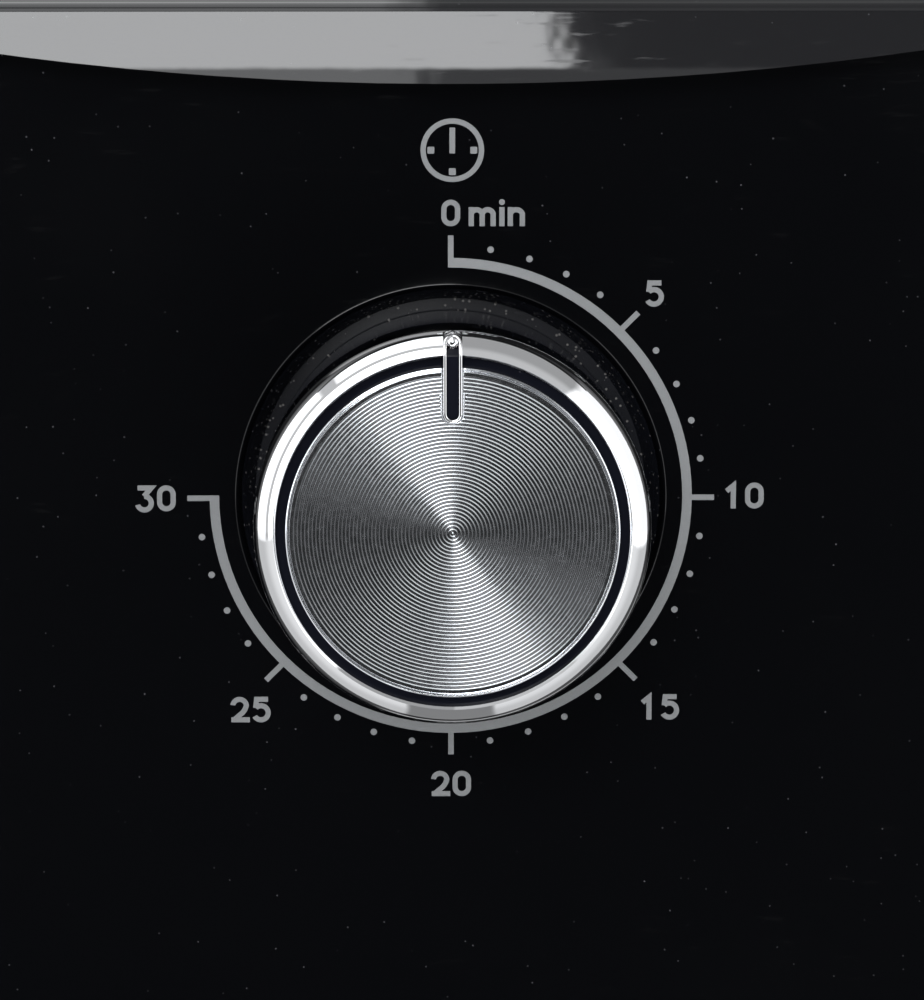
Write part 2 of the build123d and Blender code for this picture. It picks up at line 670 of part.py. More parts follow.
def back_plate():
    plate = movement_plate(BACK_PLATE) - rod(SHAFT_R + RUNNING, (-30, -27))
    return plate - rod(1.5, (-30, -27), GONG_CENTRE) - rod(1.2, (-30, -27), HAMMER_PIVOT)


def plate_pillars():
    gap = (BACK_PLATE[1], FRONT_PLATE[0])
    tenon = (BACK_PLATE[0] - 0.5, FRONT_PLATE[1])
    return [rod(2.2, gap, place) + rod(1.2, tenon, place) for place in PILLARS]


def shaft_bush():
    bush = rod(5.2, (-8.2, -5.0)) + rod(6.6, (-9.4, -8.2))
    return bush - rod(SHAFT_R + RUNNING, (-12, 0))


def spring_barrel():
    barrel = rod(BARREL_R, BARREL_Z) - rod(BARREL_R - 0.8, (BARREL_Z[0] - 1, BARREL_Z[1] - 0.8))
    return barrel - rod(SHAFT_R + 0.6, (-40, -28))


def mainspring():
    """A flat spiral of half turns about two centres, each half turn wider than the last."""
    thick, step, turns = 0.35, 0.6, 15
    outer, inner, radius, side = [], [], 4.2, 1
    centre = 0.0
    for turn in range(turns):
        start = 0 if side > 0 else 180
        outer.append(CenterArc((centre, 0), radius + thick / 2, start, 180))
        inner.append(CenterArc((centre, 0), radius - thick / 2, start, 180))
        centre += side * step
        radius += step
        side = -side
    first, last = inner[0] @ 0, inner[-1] @ 1
    ends = [Line(first, outer[0] @ 0), Line(last, outer[-1] @ 1)]
    return slab(make_face(Curve() + outer + inner + ends), (BARREL_Z[0] + 0.5, BARREL_Z[1] - 1.2))


# --- switch ---
def notched_cam(radius, depth, half_width, z_range):
    face = Circle(radius)
    notch = Polyline(
        (-half_width, -radius - 1), (-half_width + 0.9, -radius + depth),
        (half_width - 0.9, -radius + depth), (half_width, -radius - 1), close=True,
    )
    return slab(face - make_face(notch), z_range) - rod(SHAFT_R, (z_range[0] - 1, z_range[1] + 1))


def contact_block():
    bar = block((-24, 20), (-21, -16.2), (-28.0, -22.5))
    ear = block((-20, -14), (-16.2, -10.2), (-28.0, BLADE_Z[0] - 0.2))
    pin = rod(0.9, (BLADE_Z[0] - 0.2, -23.6), BLADE_PIVOT)
    tabs = [block((x - 1.5, x + 1.5), (-23.5, -21), (-26.4, -25.6)) for x in (-18.0, 14.0)]
    return bar + ear + pin + tabs[0] + tabs[1]


def moving_blade():
    x, y = BLADE_PIVOT
    nose_top = -CAM_R - NOSE_GAP
    strip = make_face(Polyline((x, y - 0.9), (x, y + 0.9), (-3.0, y + 0.5), (-0.6, nose_top), (0.6, nose_top),
                               (3.0, y + 0.5), (16.0, y - 0.2), (16.0, y - 0.9), close=True))
    blade = slab(strip, BLADE_Z) + rod(1.9, BLADE_Z, BLADE_PIVOT)
    blade -= rod(0.9 + RUNNING, (-30, -20), BLADE_PIVOT)
    rivet = Pos(14.0, y - 0.9, -25.6) * Rot(90, 0, 0) * Cylinder(0.9, 1.6)
    return blade + rivet


def fixed_contact():
    strip = block((11.5, 16.5), (-16.2, -15.6), (-26.8, -24.4))
    button = upright_rod(1.2, (-15.6, BLADE_PIVOT[1] - 1.7 - 0.15), 14.0, -25.6)
    return strip + button


# --- bell ---
def hammer_pivot():
    pin = rod(2.0, (STRIKE_Z[0] + 2.0, BACK_PLATE[0]), HAMMER_PIVOT) + rod(1.0, (-39.8, -28.5), HAMMER_PIVOT)
    return pin + rod(1.7, (-39.9, -39.2), HAMMER_PIVOT)


def hammer_arm():
    z_range = (STRIKE_Z[0] + 0.2, STRIKE_Z[1] - 0.2)
    x, y = HAMMER_PIVOT
    hx, hy = HAMMER_HEAD
    nose = -STRIKE_CAM_R - 0.15
    corners = [(x, y - 1.2), (x, y + 0.6), (-1.8, y - 0.4), (-0.5, nose), (0.5, nose), (1.2, y - 1.4)]
    tail = Polyline(*corners, close=True)
    run = hypot(hx - x, hy - y)
    angle = degrees(atan2(hy - y, hx - x))
    arm = Pos(x, y, 0) * Rot(0, 0, angle) * slab(Pos(run / 2, 0) * Rectangle(run, 1.6), z_range)
    body = slab(make_face(tail), z_range) + arm + rod(2.2, z_range, HAMMER_PIVOT)
    return body - rod(1.0 + RUNNING, (-42, -30), HAMMER_PIVOT) - rod(HAMMER_HEAD_R, (-50, -30), HAMMER_HEAD)


def hammer_head():
    return rod(HAMMER_HEAD_R, (-46.0, STRIKE_Z[1] - 0.2), HAMMER_HEAD)


def gong_post():
    seat = GONG_Z[0] + 1.0
    post = rod(2.5, (seat, BACK_PLATE[0]), GONG_CENTRE) + rod(1.5, (-54.0, -28.0), GONG_CENTRE)
    return post


def bell_gong():
    back, rim = GONG_Z
    middle = (back * 0.7 + rim * 0.3)
    outer = [ThreePointArc((GONG_R, rim), (GONG_R * 0.8, middle), (4.0, back)), Line((4.0, back), (0, back))]
    hollow = ThreePointArc((4.0, back + 1), (GONG_R * 0.77, middle + 1), (GONG_R - 1, rim))
    inner = [Line((0, back + 1), (4.0, back + 1)), hollow]
    edges = outer + [Line((0, back), (0, back + 1))] + inner + [Line((GONG_R - 1, rim), (GONG_R, rim))]
    return Pos(*GONG_CENTRE, 0) * (ring_profile(*edges) - rod(1.5, (back - 1, rim)))


def gong_nut():
    nut = slab(RegularPolygon(3.2, 6), (GONG_Z[0] - 2.4, GONG_Z[0])) - rod(1.5, (-60, -40))
    return Pos(*GONG_CENTRE, 0) * nut


# --- sockets and wires ---
def socket_body():
    """Flange and block shared by both sockets, centred on the origin, opening to the back."""
    flange = slab(rounded(*SOCKET_FLANGE, 3), (MOUTH, CASE_BACK))
    flange += slab(rounded(*SOCKET_BODY, 2), (CASE_BACK, MOUTH + SOCKET_DEPTH))
    for side in (-1, 1):
        flange -= rod(SCREW_R + 0.1, (CASE_BACK - 4, CASE_BACK + 1), (side * SOCKET_SCREW, 0))
    return flange


PIN_PLACES = [(-PIN_PITCH, 0.0), (PIN_PITCH, 0.0), (0.0, EARTH_OFFSET)]
MOUTH = CASE_BACK - FLANGE_THICK
TAB_FRONT = MOUTH + SOCKET_DEPTH + 5


def mains_inlet():
    cavity = slab(rounded(*INLET_CAVITY, 3), (MOUTH - 1, MOUTH + CAVITY_DEPTH))
    body = socket_body() - cavity
    for x, y in PIN_PLACES:
        body -= block((x - 1, x + 1), (y - 2, y + 2), (MOUTH, 0))
    return Pos(-SOCKET_X, SOCKET_Y, 0) * body


def inlet_pins():
    return [block((x - 1 - SOCKET_X, x + 1 - SOCKET_X), (y - 2 + SOCKET_Y, y + 2 + SOCKET_Y),
                  (MOUTH + 3, TAB_FRONT)) for x, y in PIN_PLACES]


def lamp_outlet():
    cavity = slab(rounded(*OUTLET_CAVITY, 3), (MOUTH - 1, MOUTH + CAVITY_DEPTH))
    island = slab(rounded(*OUTLET_ISLAND, 3), (MOUTH + 0.5, MOUTH + CAVITY_DEPTH + 0.5))
    body = socket_body() - cavity + island
    for x, y in PIN_PLACES:
        body -= block((x - 1.3, x + 1.3), (y - 2.3, y + 2.3), (MOUTH - 1, MOUTH + CAVITY_DEPTH))
        body -= block((x - 0.5, x + 0.5), (y - 2, y + 2), (MOUTH, 0))
    return Pos(SOCKET_X, SOCKET_Y, 0) * body


def outlet_contacts():
    return [block((x - 0.5 + SOCKET_X, x + 0.5 + SOCKET_X), (y - 2 + SOCKET_Y, y + 2 + SOCKET_Y),
                  (MOUTH + 5, TAB_FRONT)) for x, y in PIN_PLACES]


def socket_screws():
    places = [(s * SOCKET_X + t * SOCKET_SCREW, SOCKET_Y) for s in (-1, 1) for t in (-1, 1)]
    return [Pos(x, y, MOUTH) * Rot(180, 0, 0) * screw(7.0) for x, y in places]


def wire(points, radii):
    path = FilletPolyline(*points, radius=radii)
    start = Plane(origin=path @ 0, z_dir=path % 0)
    return sweep(start * Circle(WIRE_R), path=path)


def tab(side, place):
    x, y = PIN_PLACES[place]
    return (side * SOCKET_X + x, SOCKET_Y + y, TAB_FRONT)


def wires():
    """Live to the fixed contact, blade to the outlet, neutral and earth from socket to socket."""
    bend_z = TAB_FRONT + 11
    live, neutral, earth = tab(-1, 1), tab(-1, 0), tab(-1, 2)
    switched_out, neutral_out, earth_out = tab(1, 0), tab(1, 1), tab(1, 2)
    fixed_end, blade_end = (14.0, -23.5, -26.0), (-18.0, -23.5, -26.0)
    low_y = SOCKET_Y - 7
    level = bend_z - 4
    to_fixed = [(*live[:2], bend_z), (4, -38, -37), (14, -37, -26)]
    to_outlet = [(-18, -33, -26), (4, -30, -34), (*switched_out[:2], bend_z)]
    under = [(neutral[0] + 4, low_y, bend_z - 2), (neutral_out[0] - 4, low_y, bend_z - 2)]
    across = [(*neutral[:2], TAB_FRONT + 5), *under, (*neutral_out[:2], TAB_FRONT + 5)]
    return {
        "live_wire": wire([live, *to_fixed, fixed_end], [4, 4.5, 4.5]),
        "switched_wire": wire([blade_end, *to_outlet, switched_out], [4.5, 5, 4]),
        "neutral_wire": wire([neutral, *across, neutral_out], [3, 3.5, 3.5, 3]),
        "earth_wire": wire([earth, (*earth[:2], level), (*earth_out[:2], level), earth_out], [4, 4]),
    }


# --- the whole timer ---
def build():
    os.makedirs("parts", exist_ok=True)
    save("fascia", fascia())
    save("scale_print", *scale_print())
    save("top_cap", top_cap())
    save("case_shell", case_shell())
    save("rear_cover", rear_cover())
    save("rubber_feet", *rubber_feet())
    save("rear_screws", *rear_screws())
    save("cap_screws", *cap_screws())
    save("timer_screws", *timer_screws())
    save("movement_front_plate", front_plate())
    save("movement_back_plate", back_plate())
    save("plate_pillars", *plate_pillars())
    save("shaft_bush", shaft_bush())
    save("spring_barrel", spring_barrel())
    save("mainspring", mainspring())
    save("contact_block", contact_block())
    save("fixed_contact", fixed_contact())
    save("hammer_pivot", hammer_pivot())
    save("gong_post", gong_post())
    save("bell_gong", bell_gong())
    save("gong_nut", gong_nut())
    save("mains_inlet", mains_inlet())
    save("inlet_pins", *inlet_pins())
    save("lamp_outlet", lamp_outlet())
    save("outlet_contacts", *outlet_contacts())
    save("socket_screws", *socket_screws())
    for node, solid in wires().items():
        save(node, solid)
    save("knob_body", knob_body())
    save("knob_bezel", knob_bezel())
    save("knob_disc", knob_disc())
    save("knob_pointer", knob_pointer())
    save("pointer_inlay", pointer_inlay())
    save("knob_clip", knob_clip())
    save("main_shaft", main_shaft())
    save("circlip", circlip())
    save("main_wheel", main_wheel())
    save("ratchet_wheel", ratchet_wheel())
    save("click_pawl", click_pawl())
    save("switch_cam", notched_cam(CAM_R, CAM_NOTCH, 2.8, CAM_Z))
    save("strike_cam", notched_cam(STRIKE_CAM_R, 2.0, 2.6, STRIKE_Z))
    save("second_wheel", wheel(SECOND_MODULE, SECOND, SECOND_WHEEL_Z, THIRD_DIRECTION, ARBOR_R, 2.4, 7.0))
    save("second_pinion", pinion(MAIN_MODULE, SECOND, (-12.5, -10.6), SECOND_DIRECTION))
    save("third_wheel", wheel(THIRD_MODULE, THIRD, THIRD_WHEEL_Z, ESCAPE_DIRECTION, ARBOR_R, 2.3, 5.8))
    save("third_pinion", pinion(SECOND_MODULE, THIRD, (-16.4, -14.6), THIRD_DIRECTION))
    save("escape_wheel", escape_wheel())
    save("escape_pinion", pinion(THIRD_MODULE, ESCAPE, (-19.8, -18.0), ESCAPE_DIRECTION))
    save("pallet_lever", pallet_lever())
    save("pallet_pins", *pallet_pins())
    save("balance_weight", balance_weight())
    save("moving_blade", moving_blade())
    save("hammer_arm", hammer_arm())
    save("hammer_head", hammer_head())


build()
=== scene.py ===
"""Looks of the minute timer: a procedural material for every CAD piece, finer meshes for the turned disc, the
pointer's bright frame and the rim of the dish, and the studio, floor and camera.

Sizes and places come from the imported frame. Lengths are in metres, in the row frame: +Z up, front to -Y.
"""
import json

import bmesh
import bpy
from math import cos, pi, radians, sin, sqrt
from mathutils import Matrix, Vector


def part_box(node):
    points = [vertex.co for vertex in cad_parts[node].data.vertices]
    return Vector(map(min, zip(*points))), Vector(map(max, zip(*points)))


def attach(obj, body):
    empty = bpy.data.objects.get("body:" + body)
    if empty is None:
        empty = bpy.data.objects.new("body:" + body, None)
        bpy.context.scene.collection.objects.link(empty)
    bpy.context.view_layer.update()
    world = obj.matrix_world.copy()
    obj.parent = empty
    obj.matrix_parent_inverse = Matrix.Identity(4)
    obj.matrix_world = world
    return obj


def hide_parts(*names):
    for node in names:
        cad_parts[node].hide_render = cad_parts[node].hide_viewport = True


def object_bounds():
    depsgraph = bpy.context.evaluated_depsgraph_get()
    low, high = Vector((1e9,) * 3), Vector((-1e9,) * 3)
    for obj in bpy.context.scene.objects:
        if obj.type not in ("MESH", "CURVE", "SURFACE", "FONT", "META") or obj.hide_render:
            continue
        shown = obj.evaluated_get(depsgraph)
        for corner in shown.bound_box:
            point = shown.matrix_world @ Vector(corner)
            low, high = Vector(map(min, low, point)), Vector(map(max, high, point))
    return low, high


MM = 0.001
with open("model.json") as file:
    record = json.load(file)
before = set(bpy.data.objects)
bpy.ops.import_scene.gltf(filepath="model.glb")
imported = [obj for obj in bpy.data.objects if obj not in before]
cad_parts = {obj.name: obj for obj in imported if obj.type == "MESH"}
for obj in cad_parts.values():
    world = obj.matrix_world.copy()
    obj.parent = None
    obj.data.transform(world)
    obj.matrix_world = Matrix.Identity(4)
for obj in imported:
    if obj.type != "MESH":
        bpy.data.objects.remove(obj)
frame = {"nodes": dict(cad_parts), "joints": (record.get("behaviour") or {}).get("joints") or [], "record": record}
cad_low, cad_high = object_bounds()
nodes = frame["nodes"]
record = frame["record"]

knob_joint = next(joint for joint in frame["joints"] if joint["name"] == "knob_turn")
FACE_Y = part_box("scale_print")[1].y
DIAL = Vector((knob_joint["pos_m"][0], FACE_Y, knob_joint["pos_m"][2]))
DISC_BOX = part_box("knob_disc")
DISC_R = (DISC_BOX[1].x - DISC_BOX[0].x) / 2
DISC_FRONT = DISC_BOX[0].y
DISH_R = 26.8 * MM           # edge of the dish round the knob

# --- camera ---
LENS = 150.0
SENSOR = 36.0
ELEVATION = 10.0
AZIMUTH = -0.7
PICTURE_HEIGHT_MM = 125.7    # what the picture's height spans at the fascia
AIM = Vector((1.4 * MM, 0.0, -0.3 * MM))


def camera():
    data = bpy.data.cameras.new("camera")
    data.lens = LENS
    data.sensor_width = SENSOR
    data.clip_start = 0.05
    view = bpy.data.objects.new("camera", data)
    bpy.context.scene.collection.objects.link(view)
    distance = LENS / SENSOR * PICTURE_HEIGHT_MM * MM
    tilt = radians(ELEVATION)
    target = DIAL + AIM
    aside = radians(AZIMUTH)
    view.location = target + Vector((sin(aside) * cos(tilt), -cos(aside) * cos(tilt), sin(tilt))) * distance
    view.rotation_euler = (target - view.location).to_track_quat("-Z", "Y").to_euler()
    bpy.context.scene.camera = view


# --- node helpers ---
class Graph:
    """A shader's node tree, with sums on its sockets."""

    def __init__(self, tree):
        self.nodes = tree.nodes
        self.links = tree.links

    def maths(self, operation, first, second=None):
        node = self.nodes.new("ShaderNodeMath")
        node.operation = operation
        for socket, value in zip(node.inputs, (first, second)):
            if isinstance(value, (int, float)):
                socket.default_value = value
            elif value is not None:
                self.links.new(value, socket)
        return node.outputs["Value"]


class Finish(Graph):
    """A material with a Principled shader and procedural detail at its real size."""

    def __init__(self, name, colour, roughness, metallic=0.0, specular=0.5):
        self.material = bpy.data.materials.new(name)
        self.material.use_nodes = True
        super().__init__(self.material.node_tree)
        self.shader = self.nodes["Principled BSDF"]
        self.put("Base Color", (*colour, 1.0))
        self.put("Roughness", roughness)
        self.put("Metallic", metallic)
        self.put("Specular IOR Level", specular)
        self.place = self.nodes.new("ShaderNodeTexCoord").outputs["Object"]
        self.bumps = []

    def put(self, socket, value):
        self.shader.inputs[socket].default_value = value

    def vectors(self, operation, first, second=None):
        node = self.nodes.new("ShaderNodeVectorMath")
        node.operation = operation
        self.links.new(first, node.inputs[0])
        if second is not None:
            node.inputs[1].default_value = second
        return node.outputs

    def noise(self, size, detail=3.0, stretch=(1, 1, 1)):
        """Soft noise whose blobs are about size metres across; detail adds finer levels."""
        mapping = self.nodes.new("ShaderNodeMapping")
        mapping.inputs["Scale"].default_value = stretch
        self.links.new(self.place, mapping.inputs["Vector"])
        texture = self.nodes.new("ShaderNodeTexNoise")
        texture.inputs["Scale"].default_value = 1.0 / size
        texture.inputs["Detail"].default_value = detail
        texture.inputs["Roughness"].default_value = 0.5
        self.links.new(mapping.outputs["Vector"], texture.inputs["Vector"])
        return texture.outputs["Fac"]

    def specks(self, size, radius):
        """1 in small spots, one to each cell of this size, where the cell's middle is near the surface."""
        cells = self.nodes.new("ShaderNodeTexVoronoi")
        cells.inputs["Scale"].default_value = 1.0 / size
        cells.inputs["Randomness"].default_value = 1.0
        self.links.new(self.place, cells.inputs["Vector"])
        return self.ramp(cells.outputs["Distance"], [(0.0, 1.0), (radius, 1.0), (radius * 1.6, 0.0)])

    def ramp(self, source, stops):
        """Source mapped through (position, grey value) stops."""
        ramp = self.nodes.new("ShaderNodeValToRGB")
        elements = ramp.color_ramp.elements
        while len(elements) < len(stops):
            elements.new(0.5)
        for element, (position, value) in zip(elements, stops):
            element.position = position
            element.color = (value, value, value, 1.0)
        self.links.new(source, ramp.inputs["Fac"])
        return ramp.outputs["Color"]

    def blend(self, factor, first, second):
        """The first colour where factor is 0, the second where it is 1."""
        mix = self.nodes.new("ShaderNodeMix")
        mix.data_type = "RGBA"
        self.links.new(factor, mix.inputs["Factor"])
        for socket, colour in ((mix.inputs["A"], first), (mix.inputs["B"], second)):
            if isinstance(colour, tuple):
                socket.default_value = (*colour, 1.0)
            else:
                self.links.new(colour, socket)
        return mix.outputs["Result"]

    def colour_from(self, source):
        self.links.new(source, self.shader.inputs["Base Color"])

    def roughness_from(self, source):
        self.links.new(source, self.shader.inputs["Roughness"])

    def bump(self, height, depth):
        """Raises the surface by depth metres where height is 1. Calls add up."""
        bump = self.nodes.new("ShaderNodeBump")
        bump.inputs["Strength"].default_value = 1.0
        bump.inputs["Distance"].default_value = depth
        self.links.new(height, bump.inputs["Height"])
        if self.bumps:
            self.links.new(self.bumps[-1].outputs["Normal"], bump.inputs["Normal"])
        self.bumps.append(bump)
        self.links.new(bump.outputs["Normal"], self.shader.inputs["Normal"])
        return self


# --- sizes and colours of surface detail ---
DUST_CLOUD = 14 * MM         # dustier and cleaner areas
DUST_CELL = 2.0 * MM         # one speck of dust to each cell
DUST_GREY = (0.13, 0.13, 0.14)
HAZE_CLOUD = 30 * MM         # duller and brighter areas of polish
WIPE_MARK = 1.2 * MM
MOULDING_WAVE = 7 * MM       # slow unevenness of a moulded face

DISH_MARK_INSET = 0.5 * MM        # the dish's painted light, dust specks and duller polish end this far inside its edge
# painted light: a lighter bluish base colour that stands in for light where the dish lies in shade, mixed in at
# the share below
PAINTED_DISH_LIGHT = (0.011, 0.012, 0.017)
PAINTED_DISH_LIGHT_SHARE = 0.5
DISH_ROUGHNESS = 0.16        # added to the polish inside the dish
DISH_DUST_CELL = 0.9 * MM
DISH_DUST = (0.22, 0.21, 0.20)

INK_GRAIN = 0.06 * MM
INK_DARK = (0.29, 0.295, 0.30)
INK_LIGHT = (0.41, 0.42, 0.43)
SPARK_GRAIN = 0.35 * MM      # the grain of a spark-eroded mould
SCUFF_CLOUD = 22 * MM
TURNING_CLOUD = 0.8 * MM


# --- materials, one for each slot of the record ---
def gloss_black(name, tint, specular, roughness=0.06, hazy=0.05, waves=0.004 * MM):
    """Polished black plastic with a little dust and fine wiping marks."""
    finish = Finish(name, tint, roughness, specular=specular)
    patchy = finish.ramp(finish.noise(DUST_CLOUD), [(0.42, 0.15), (0.62, 1)])
    dust = finish.maths("MULTIPLY", finish.specks(DUST_CELL, 0.04), patchy)
    haze = finish.ramp(finish.noise(HAZE_CLOUD, 4), [(0.35, 0), (0.75, 1)])
    finish.base = finish.blend(finish.maths("MULTIPLY", dust, 0.4), tint, DUST_GREY)
    finish.colour_from(finish.base)
    wiped = finish.noise(WIPE_MARK, 2, stretch=(0.25, 1, 1.6))
    marks = finish.maths("MULTIPLY", finish.ramp(wiped, [(0.62, 0), (0.8, 1)]), 0.08)
    dulled = finish.maths("MULTIPLY", haze, hazy)
    finish.rough = finish.maths("ADD", dulled, finish.maths("ADD", marks, roughness))
    finish.roughness_from(finish.rough)
    return finish.bump(finish.noise(MOULDING_WAVE, 2), waves)


def fascia_gloss():
    """Polished black, with dust specks and a duller polish in the dish round the knob, and painted light there: a
    lighter bluish base colour that lifts the dish's shade.
    """
    finish = gloss_black("fascia_gloss", (0.0014, 0.0015, 0.0019), 0.45)
    offset = finish.vectors("SUBTRACT", finish.place, DIAL)["Vector"]
    across = finish.vectors("MULTIPLY", offset, (1, 0, 1))["Vector"]
    distance = finish.vectors("LENGTH", across)["Value"]
    inside = finish.maths("LESS_THAN", distance, DISH_R - DISH_MARK_INSET)
    # painted light: inside the dish the base colour is lifted towards a lighter blue, standing in for light where
    # the dish lies in shade
    base_with_painted_light = finish.blend(finish.maths("MULTIPLY", inside, PAINTED_DISH_LIGHT_SHARE), finish.base, PAINTED_DISH_LIGHT)
    dust = finish.maths("MULTIPLY", inside, finish.specks(DISH_DUST_CELL, 0.13))
    finish.colour_from(finish.blend(finish.maths("MULTIPLY", dust, 0.55), base_with_painted_light, DISH_DUST))
    duller = finish.maths("MULTIPLY", inside, DISH_ROUGHNESS)
    finish.roughness_from(finish.maths("ADD", duller, finish.rough))
    return finish.material


def cap_gloss():
    tint = (0.006, 0.006, 0.007)
    return gloss_black("cap_gloss", tint, 0.5, 0.03, hazy=0.015, waves=0.014 * MM).material


def knob_black():
    return gloss_black("knob_black", (0.005, 0.0055, 0.009), 0.12, 0.12).material


def scale_ink():
    """Silver screen-print ink: fine metallic grain in a clear binder."""
    finish = Finish("scale_ink", (0.34, 0.35, 0.36), 0.38, metallic=0.85, specular=0.4)
    grain = finish.noise(INK_GRAIN, 2)
    finish.colour_from(finish.blend(finish.ramp(grain, [(0.3, 0), (0.7, 1)]), INK_DARK, INK_LIGHT))
    return finish.bump(grain, 0.006 * MM).material


def textured_black(name, tint):
    """Moulded black plastic with a fine spark-eroded grain."""
    finish = Finish(name, tint, 0.5, specular=0.4)
    grain = finish.noise(SPARK_GRAIN)
    scuffs = finish.ramp(finish.noise(SCUFF_CLOUD, 5), [(0.45, 0), (0.8, 1)])
    scuffed = tuple(value * 1.9 for value in tint)
    finish.colour_from(finish.blend(finish.maths("MULTIPLY", scuffs, 0.5), tint, scuffed))
    finish.roughness_from(finish.ramp(grain, [(0.3, 0.42), (0.7, 0.62)]))
    return finish.bump(grain, 0.03 * MM).material


def case_black():
    return textured_black("case_black", (0.016, 0.016, 0.018))


def socket_black():
    return textured_black("socket_black", (0.012, 0.012, 0.013))


def metal(name, colour, roughness, grain=(1, 1, 1)):
    """Bare or plated metal with faint drawing lines, which grain stretches."""
    finish = Finish(name, colour, roughness, metallic=1.0)
    lines = finish.noise(0.5 * MM, stretch=grain)
    finish.roughness_from(finish.ramp(lines, [(0.3, roughness * 0.8), (0.7, roughness * 1.25)]))
    return finish.bump(lines, 0.002 * MM).material


def bezel_chrome():
    finish = Finish("bezel_chrome", (0.83, 0.83, 0.84), 0.045, metallic=1.0)
    finish.roughness_from(finish.ramp(finish.noise(6 * MM, 4), [(0.4, 0.03), (0.8, 0.09)]))
    return finish.bump(finish.noise(5 * MM, 1), 0.01 * MM).material


def turned_aluminium():
    finish = Finish("turned_aluminium", (0.80, 0.82, 0.86), 0.15, metallic=1.0)
    finish.roughness_from(finish.ramp(finish.noise(TURNING_CLOUD), [(0.3, 0.13), (0.7, 0.18)]))
    return finish.material


def foot_rubber():
    finish = Finish("foot_rubber", (0.02, 0.02, 0.02), 0.85, specular=0.3)
    return finish.bump(finish.noise(0.5 * MM), 0.03 * MM).material


def bright_steel():
    return metal("bright_steel", (0.62, 0.62, 0.63), 0.3, grain=(1, 1, 5))


def spring_steel():
    return metal("spring_steel", (0.18, 0.20, 0.28), 0.28)


def brass():
    return metal("brass", (0.72, 0.53, 0.24), 0.26, grain=(5, 1, 1))


def bell_steel():
    return metal("bell_steel", (0.72, 0.71, 0.68), 0.12)


def nylon_white():
    finish = Finish("nylon_white", (0.72, 0.70, 0.63), 0.45)
    finish.put("Subsurface Weight", 0.1)
    return finish.bump(finish.noise(1.5 * MM, 2), 0.01 * MM).material


def wire_sheath(name, colour):
    finish = Finish(name, colour, 0.42)
    return finish.bump(finish.noise(1.0 * MM, 2), 0.02 * MM).material


def wire_brown():
    return wire_sheath("wire_brown", (0.13, 0.05, 0.02))


def wire_blue():
    return wire_sheath("wire_blue", (0.03, 0.10, 0.36))


def wire_green():
    return wire_sheath("wire_green", (0.09, 0.28, 0.05))


MAKERS = [
    fascia_gloss, cap_gloss, scale_ink, case_black, knob_black, bezel_chrome, turned_aluminium, foot_rubber,
    bright_steel, spring_steel, brass, nylon_white, bell_steel, socket_black,
    wire_brown, wire_blue, wire_green,
]


def paint(materials):
    """Gives every CAD node the material of its slot in the record."""
    for part in record["subparts"]:
        mesh = nodes[part["node"]]
        for holder in mesh.material_slots:
            holder.material = materials[part["material_slot"]]


# --- pieces made here ---
DISC_SIDES = 256
GROOVES = 43
GROOVE_STEPS = 6
GROOVE_DEPTH = 0.034 * MM
LAND_WIDTH = 0.90 * MM       # flat land between the grooves and the rim
LAND_STEP = 0.05 * MM        # from the last groove to the land
LINE_INSET = 0.40 * MM       # the fine line cut in the land, in from the rim
LINE_HALF_WIDTH = 0.10 * MM
LINE_DEPTH = 0.12 * MM
RIM_ROUND = 0.20 * MM        # the rim's front corner is eased over this
CORNER_SUPPORTS = (0.0, 0.12, 0.88)  # where each stretch has rings, so that smooth shading keeps its corners

SLOT_GAP = 0.10 * MM         # between the disc and the pointer's frame
SLOT_DEPTH = 3 * MM          # how far the slot's cut goes past the pointer's back
SLOT_STEPS = 16

FRAME_STEPS = 24
SECTION_STEPS = 8
WIRE_DEPTH = 1.2 * MM        # from the wire's crest to its back
TIP_INSET = 1.25 * MM        # from the bezel's rim to the middle of the loop's outer bend
SHOULDER = DISC_R + 1.3 * MM  # where the frame starts to dip over the bezel
TIP_DIP = 3.8 * MM           # how far back it would be at the bezel's rim
BEAD_OUT = 0.10 * MM         # its middle, out from the middle of that bend
BEAD_FIT = 0.96              # of the channel's half width
BEAD_HALF_DEPTH = 0.55 * MM
BEAD_SINK = 0.42 * MM        # its middle, behind the wire's crest

RIM_SIDES = 256
RIM_STEPS = 16
RIM_R = 0.16 * MM            # radius of the dish's rounded rim


def add_object(name, mesh):
    piece = bpy.data.objects.new(name, mesh)
    bpy.context.scene.collection.objects.link(piece)
    return piece


def add_mesh(name, vertices, faces):
    mesh = bpy.data.meshes.new(name)
    mesh.from_pydata(vertices, [], faces)
    mesh.validate()
    return add_object(name, mesh)


def dress(mesh, material):
    """One material all over, shaded smooth."""
    mesh.materials.clear()
    mesh.materials.append(material)
    for polygon in mesh.polygons:
        polygon.use_smooth = True
        polygon.material_index = 0


def round_axis(radius, y, side, sides):
    """The point this far from the knob's axis, side out of sides clockwise from the top."""
    turn = 2 * pi * side / sides
    return DIAL.x + radius * sin(turn), y, DIAL.z + radius * cos(turn)


def disc_profile():
    """(radius, height towards the front) from the middle to the back of the rim, with sine grooves."""
    face_r = DISC_R - LAND_WIDTH
    steps = GROOVES * GROOVE_STEPS
    points = []
    for step in range(1, steps + 1):
        height = -GROOVE_DEPTH * (1 - cos(2 * pi * step / GROOVE_STEPS)) / 2
        points.append((face_r * step / steps, height))
    back = DISC_BOX[1].y - DISC_BOX[0].y
    line = DISC_R - LINE_INSET
    corners = [
        (face_r + LAND_STEP, 0.0),
        (line - LINE_HALF_WIDTH, 0.0),
        (line, -LINE_DEPTH),
        (line + LINE_HALF_WIDTH, 0.0),
        (DISC_R - RIM_ROUND, 0.0),
        (DISC_R - RIM_ROUND * 0.15, -RIM_ROUND * 0.4),
        (DISC_R, -RIM_ROUND),
        (DISC_R, -back),
    ]
    for start, end in zip(corners, corners[1:]):
        for share in CORNER_SUPPORTS:
            points.append(tuple(a + (b - a) * share for a, b in zip(start, end)))
    points.append(corners[-1])
    return points


